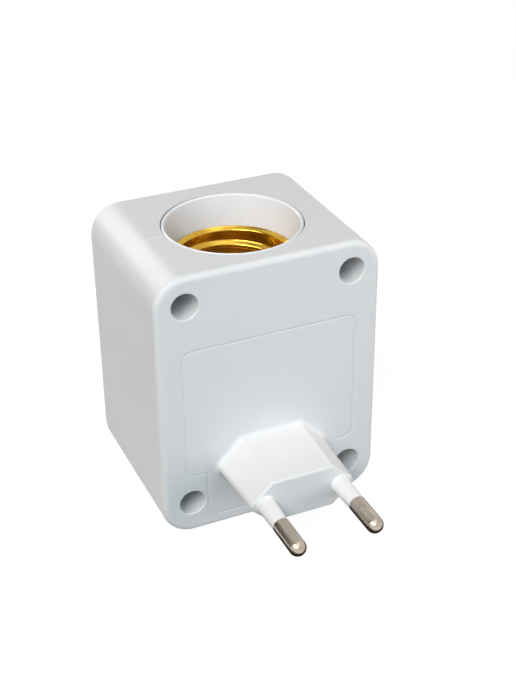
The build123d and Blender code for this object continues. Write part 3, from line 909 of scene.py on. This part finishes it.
    @staticmethod
    def selected_centre(piece: bpy.types.Object) -> Vector:
        """Middle of the selected vertices."""
        places = [v.co.copy() for v in bmesh.from_edit_mesh(piece.data).verts if v.select]
        return sum(places, Vector()) / len(places)


@dataclass
class SensorEye(SubAssembly):
    """Milky lens of ridged facets, with the motion and light sensors behind it."""

    reach: float = 11.0 * MM
    bulge: float = 7.5 * MM
    sheet: float = 0.9 * MM
    front: float = -23.0 * MM
    wall: float = 2.2 * MM
    facets: int = 16
    facet_steps: int = 4
    bands: int = 4
    crown: float = 0.5
    rim: float = 0.2 * MM
    rim_slope: float = 0.25
    recess: float = 0.2 * MM
    ridge: float = 0.5 * MM
    ridge_rise: float = 0.16 * MM
    ridge_back: float = 0.08 * MM
    ridged_share: float = 0.4
    flat_angle: float = radians(1)
    facet_angle: float = radians(10)
    cad_finishes: dict[str, Finish] = field(default_factory=lambda: {
        "motion_sensor": CAN_PLATE, "light_sensor": CLEAR_DOME})

    def build(self) -> Iterator[bpy.types.Object]:
        """Model the lens."""
        yield self.lens()

    def dome_rings(self) -> list[Span]:
        """Place the dome's rings, from its foot to its crown.

        Returns:
            Radius and Y of each ring.
        """
        dome_r = (self.reach ** 2 + self.bulge ** 2) / (2 * self.bulge)
        steepest = asin(self.reach / dome_r)
        slopes = [steepest * (1 - band / (self.bands + self.crown)) for band in range(self.bands + 1)]
        return [(dome_r * sin(slope), self.front - dome_r * (cos(slope) - cos(steepest))) for slope in slopes]

    def lens(self) -> bpy.types.Object:
        """Model the lens: a flange drawn out into a neck and a faceted dome, thickened and ridged.

        Returns:
            The piece.
        """
        low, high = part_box("lens_dome")
        centre = (low + high) / 2
        flange_r = (high.x - low.x) / 2
        rings = self.dome_rings()
        Workbench.clear()
        bpy.ops.mesh.primitive_circle_add(vertices=self.facets * self.facet_steps, radius=flange_r,
                                          location=(centre.x, high.y, centre.z), rotation=(pi / 2, 0, 0))
        piece = Workbench.take("sensor_lens")
        Workbench.pick(piece, lambda place: True)
        Workbench.ring(centre, self.front + self.wall - high.y, 1.0)
        Workbench.ring(centre, 0.0, self.reach / flange_r)
        Workbench.ring(centre, -self.wall, 1.0)
        Workbench.ring(centre, 0.0, 1.0)
        self.flatten(piece, centre)
        for (wide, foot), (narrow, top) in zip(rings, rings[1:]):
            Workbench.ring(centre, top - foot, narrow / wide)
        bpy.ops.mesh.edge_face_add()
        bpy.ops.mesh.select_all(action="SELECT")
        bpy.ops.mesh.remove_doubles(threshold=WELD)
        Workbench.pick(piece, lambda place: place.y < self.front + NEAR)
        bpy.ops.mesh.dissolve_limited(angle_limit=self.flat_angle)
        Workbench.close_up()
        Workbench.thicken(piece, self.sheet, Side.INSIDE)
        bpy.ops.object.mode_set(mode="EDIT")
        for (_, foot), (narrow, top) in zip(rings, rings[1:]):
            self.ridge_faces(piece, centre, (foot + top) / 2, 2 * narrow * sin(pi / self.facets))
        self.ridge_faces(piece, centre, rings[-1][1], 2 * rings[-1][0])
        Workbench.leave(self.facet_angle)
        piece.data.materials.append(LENS_MILK.material())
        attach(piece, Body.HOLDER.value)
        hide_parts("lens_dome")
        return piece

    def flatten(self, piece: bpy.types.Object, centre: Vector) -> None:
        """Move the selected ring in onto the chords of its facets.

        Args:
            piece: The lens, in edit mode.
            centre: A point on the lens axis.
        """
        half = pi / self.facets
        mesh = bmesh.from_edit_mesh(piece.data)
        for vertex in mesh.verts:
            if vertex.select:
                out = Vector((vertex.co.x - centre.x, 0, vertex.co.z - centre.z))
                turn = atan2(out.z, out.x) % (2 * half)
                vertex.co += out * (cos(half) / cos(turn - half) - 1)
        bmesh.update_edit_mesh(piece.data)

    def ridge_faces(self, piece: bpy.types.Object, centre: Vector, height: float, width: float) -> None:
        """Sink the outer facets at one height inside their rims and step them in ridges.

        Args:
            piece: The lens, in edit mode.
            centre: A point on the lens axis.
            height: Y of the facets' middles.
            width: Width of a facet at its narrow end.
        """
        heart = Vector((centre.x, self.front + self.sheet, centre.z))
        Workbench.pick_faces(piece, lambda middle, normal: abs(middle.y - height) < NEAR
                             and normal.dot(middle - heart) > 0)
        room = self.ridged_share * width
        rim = min(self.rim, room / 2)
        Workbench.inset(rim, 0.0)
        Workbench.inset(rim * self.rim_slope, -self.recess)
        for _ in range(int((room - rim) / self.ridge)):
            Workbench.inset(self.ridge - self.ridge_back, self.ridge_rise)
            Workbench.inset(self.ridge_back, -self.ridge_rise)


@dataclass
class ControlBoard(SubAssembly):
    """Circuit board with its parts, screws and leads."""

    cad_finishes: dict[str, Finish] = field(default_factory=lambda: {
        "circuit_board": BOARD_LACQUER, "board_screws": ZINC_STEEL, "control_chip": BLACK_CASE,
        "voltage_regulator": BLACK_CASE, "bridge_rectifier": BLACK_CASE, "relay": RELAY_CASE,
        "mains_capacitor": FILM_CASE, "filter_capacitor": CAP_SLEEVE, "fuse_resistor": RESISTOR_BODY,
        "live_wire": BROWN_LEAD, "lamp_wire": BROWN_LEAD, "neutral_wire": BLUE_LEAD})


@dataclass(frozen=True)
class Softbox:
    """An area lamp that looks at the object, square unless its depth is given."""

    name: str
    azimuth: float
    elevation: float
    distance: float
    size: float
    power: float
    colour: Colour = WHITE
    lights: bool = True
    gleams: bool = True
    depth: float = 0.0
    roll: float = 0.0

    def build(self, target: Vector) -> None:
        """Hang the lamp round a target.

        Args:
            target: What it looks at.
        """
        lamp = bpy.data.lights.new(self.name, "AREA")
        lamp.shape = "RECTANGLE"
        lamp.size = self.size
        lamp.size_y = self.depth or self.size
        lamp.energy = self.power
        lamp.color = self.colour
        hung = bpy.data.objects.new(self.name, lamp)
        bpy.context.scene.collection.objects.link(hung)
        away = bearing(self.azimuth, self.elevation)
        hung.location = target + away * self.distance
        hung.rotation_euler = (away.to_track_quat("Z", "Y") @ Quaternion((0, 0, 1), self.roll)).to_euler()
        hung.visible_diffuse = self.lights
        hung.visible_glossy = self.gleams


@dataclass(frozen=True)
class Flag:
    """A dark card beside the object that only shiny surfaces see."""

    name: str
    centre: Point
    size: Span
    turn: Point = (0.0, 0.0, 0.0)
    colour: Colour = (0.03, 0.022, 0.018)

    def build(self) -> None:
        """Stand the card on the set."""
        Workbench.clear()
        bpy.ops.mesh.primitive_plane_add(size=1, location=self.centre, rotation=self.turn)
        bpy.ops.transform.resize(value=(*self.size, 1))
        card = bpy.context.object
        card.name = self.name
        tree = ShaderTree(bpy.data.materials.new(self.name))
        tree.close(tree.node("ShaderNodeBsdfDiffuse", {}, {"Color": self.colour}))
        card.data.materials.append(tree.owner)
        card.visible_camera = card.visible_diffuse = card.visible_transmission = card.visible_shadow = False


@dataclass
class Studio:
    """Pale floor, soft light and a camera at the photograph's view."""

    target: Vector = field(default_factory=lambda: Vector((0, 0, 30 * MM)))
    azimuth: float = radians(156.17)
    elevation: float = radians(30.55)
    roll: float = radians(-0.60)
    shift_right: float = 5.55 * MM
    shift_up: float = 4.64 * MM
    distance: float = 323.33 * MM
    nearest: float = 1 * MM
    focal_px: float = 1319.96
    floor_size: float = 8.0
    floor_gap: float = 0.05 * MM
    floor_colour: Colour = (0.25, 0.25, 0.25)
    floor_glow: float = 0.88
    backdrop_glow: float = 0.9
    sky_colour: Colour = (0.95, 0.97, 1.0)
    sky_strength: float = 0.1
    lamps: tuple[Softbox, ...] = (
        Softbox("key_box", azimuth=radians(104), elevation=radians(45), distance=1.0, size=0.4,
                power=3.4, colour=(1.0, 0.86, 0.76)),
        Softbox("rear_box", azimuth=radians(139), elevation=radians(43), distance=1.0, size=0.4,
                power=5.4, colour=(0.95, 1.0, 1.04)),
        Softbox("high_box", azimuth=radians(210), elevation=radians(72), distance=0.6, size=0.3,
                power=0.3, colour=(0.85, 1.0, 1.02)),
        Softbox("plug_box", azimuth=radians(190), elevation=radians(14), distance=0.8, size=0.4,
                power=1.0, colour=(0.6, 1.0, 1.2), gleams=False),
        Softbox("right_box", azimuth=radians(230), elevation=radians(14), distance=0.31, size=0.16,
                power=0.27, colour=(1.0, 0.75, 0.65), gleams=False),
        Softbox("front_box", azimuth=radians(352), elevation=radians(1), distance=1.0, size=0.14,
                power=6.0, gleams=False),
        Softbox("far_side_box", azimuth=radians(266), elevation=radians(1), distance=1.0, size=0.14,
                power=3.0, gleams=False),
        Softbox("edge_strip", azimuth=radians(20.5), elevation=radians(27), distance=1.0, size=0.75,
                depth=0.2, roll=radians(-40), power=3.7, lights=False),
    )
    flags: tuple[Flag, ...] = (
        Flag("plug_flag", centre=(0.0, 48 * MM, 0.4 * MM), size=(130 * MM, 52 * MM)),
        Flag("left_flag", centre=(93 * MM, -21 * MM, 28 * MM), size=(80 * MM, 54 * MM),
             turn=(pi / 2, 0.0, radians(38))),
        Flag("right_flag", centre=(-92 * MM, -8 * MM, 0.4 * MM), size=(120 * MM, 110 * MM)),
    )

    def build(self) -> None:
        """Make the floor, the light and the camera."""
        self.floor()
        self.sky()
        for lamp in self.lamps:
            lamp.build(self.target)
        for flag in self.flags:
            flag.build()
        self.camera()
        bpy.context.scene.view_settings.view_transform = "Standard"

    def floor(self) -> None:
        """Lay a pale floor that is white to the eye and keeps the object's shadow."""
        Workbench.clear()
        bpy.ops.mesh.primitive_plane_add(size=self.floor_size, location=(0, 0, -self.floor_gap))
        floor = bpy.context.object
        floor.name = "studio_floor"
        tree = ShaderTree(bpy.data.materials.new("studio_floor"))
        matt = tree.node("ShaderNodeBsdfDiffuse", {}, {"Color": self.floor_colour})
        glow = tree.node("ShaderNodeEmission", {}, {"Color": WHITE, "Strength": self.floor_glow})
        bright = tree.node("ShaderNodeAddShader", {}, {0: matt, 1: glow})
        tree.close(tree.node("ShaderNodeMixShader", {}, {0: tree.seen(), 1: matt, 2: bright}))
        floor.data.materials.append(tree.owner)

    def sky(self) -> None:
        """Light the object softly from all round, before a white backdrop."""
        world = bpy.data.worlds.new("studio")
        bpy.context.scene.world = world
        tree = ShaderTree(world)
        shades = ((self.sky_colour, self.sky_strength), (WHITE, self.backdrop_glow))
        soft, white = [tree.node("ShaderNodeBackground", {}, {"Color": colour, "Strength": strength})
                       for colour, strength in shades]
        tree.close(tree.node("ShaderNodeMixShader", {}, {0: tree.seen(), 1: soft, 2: white}))

    def camera(self) -> None:
        """Stand the camera where the photograph was taken from."""
        back = bearing(self.azimuth, self.elevation)
        right = Vector((0, 0, 1)).cross(back).normalized()
        up = back.cross(right)
        tilted_right = right * cos(self.roll) + up * sin(self.roll)
        tilted_up = up * cos(self.roll) - right * sin(self.roll)
        data = bpy.data.cameras.new("photo_camera")
        data.sensor_width = SENSOR_MM
        data.lens = self.focal_px * SENSOR_MM / PHOTO_HEIGHT_PX
        data.clip_start = self.nearest
        camera = bpy.data.objects.new("photo_camera", data)
        bpy.context.scene.collection.objects.link(camera)
        aim = self.target + tilted_right * self.shift_right + tilted_up * self.shift_up
        turn = Matrix((tilted_right, tilted_up, back)).transposed()
        camera.matrix_world = Matrix.Translation(aim + back * self.distance) @ turn.to_4x4()
        bpy.context.scene.camera = camera


def main() -> None:
    """Build, dress and light the lamp holder, and report each piece."""
    logging.basicConfig(level=logging.INFO, format="%(name)s: %(message)s")
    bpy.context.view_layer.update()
    for assembly in (Housing(), MainsPlug(), LampSocket(), SensorEye(), ControlBoard()):
        for piece in assembly.build():
            log.info("built %s with %d faces", piece.name, len(piece.data.polygons))
        assembly.dress()
    Studio().build()


if __name__ == "__main__":
    main()
